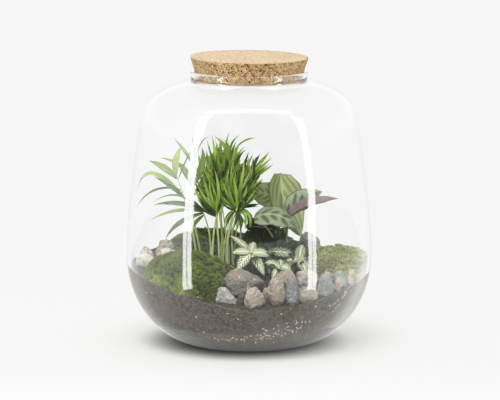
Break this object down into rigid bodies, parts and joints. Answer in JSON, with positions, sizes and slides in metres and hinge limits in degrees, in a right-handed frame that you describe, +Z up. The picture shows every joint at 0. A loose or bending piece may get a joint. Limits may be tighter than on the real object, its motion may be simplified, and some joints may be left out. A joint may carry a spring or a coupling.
{
  "type": "glass plant terrarium",
  "caption": "Closed glass jar terrarium with a cork stopper, planted with a palm, calathea, fittonia, moss and stones in soil.",
  "frame": {"origin": "centre of the jar's foot, on the surface that it stands on", "axes": "+Z up the jar's axis, +X to the right and -Y towards the viewer of the planting's front"},
  "size_m": [0.253, 0.253, 0.2963],
  "materials": {
    "glass": "clear blown glass, glossy",
    "cork": "pressed cork granules, matt",
    "soil": "fine dark potting soil, matt",
    "moss": "living cushion moss, matt",
    "stone": "natural broken stone, matt",
    "palm": "living palm leaflets, satin",
    "calathea": "living patterned leaves, satin",
    "fittonia": "living white-veined leaves, satin"
  },
  "bodies": {
    "root": {"calathea_leaf_1": "calathea", "calathea_leaf_2": "calathea", "calathea_leaf_3": "calathea", "calathea_leaf_4": "calathea", "calathea_leaf_5": "calathea", "calathea_leaf_6": "calathea", "cork_stopper": "cork", "fittonia_sprig_1": "fittonia", "fittonia_sprig_2": "fittonia", "fittonia_sprig_3": "fittonia", "fittonia_sprig_4": "fittonia", "glass_jar": "glass", "moss_back_left": "moss", "moss_front_left": "moss", "moss_right": "moss", "palm_shoot_1": "palm", "palm_shoot_10": "palm", "palm_shoot_11": "palm", "palm_shoot_2": "palm", "palm_shoot_3": "palm", "palm_shoot_4": "palm", "palm_shoot_5": "palm", "palm_shoot_6": "palm", "palm_shoot_7": "palm", "palm_shoot_8": "palm", "palm_shoot_9": "palm", "soil": "soil", "stone_back_1": "stone", "stone_front_1": "stone", "stone_front_2": "stone", "stone_front_3": "stone", "stone_front_4": "stone", "stone_front_5": "stone", "stone_front_6": "stone", "stone_front_7": "stone", "stone_front_8": "stone", "stone_front_9": "stone", "stone_left_1": "stone", "stone_left_2": "stone", "stone_left_3": "stone", "stone_left_4": "stone", "stone_left_5": "stone", "stone_right_1": "stone", "stone_right_2": "stone", "stone_right_3": "stone", "stone_right_4": "stone", "stone_right_5": "stone", "stone_right_6": "stone", "stone_right_7": "stone"}
  },
  "joints": []
}
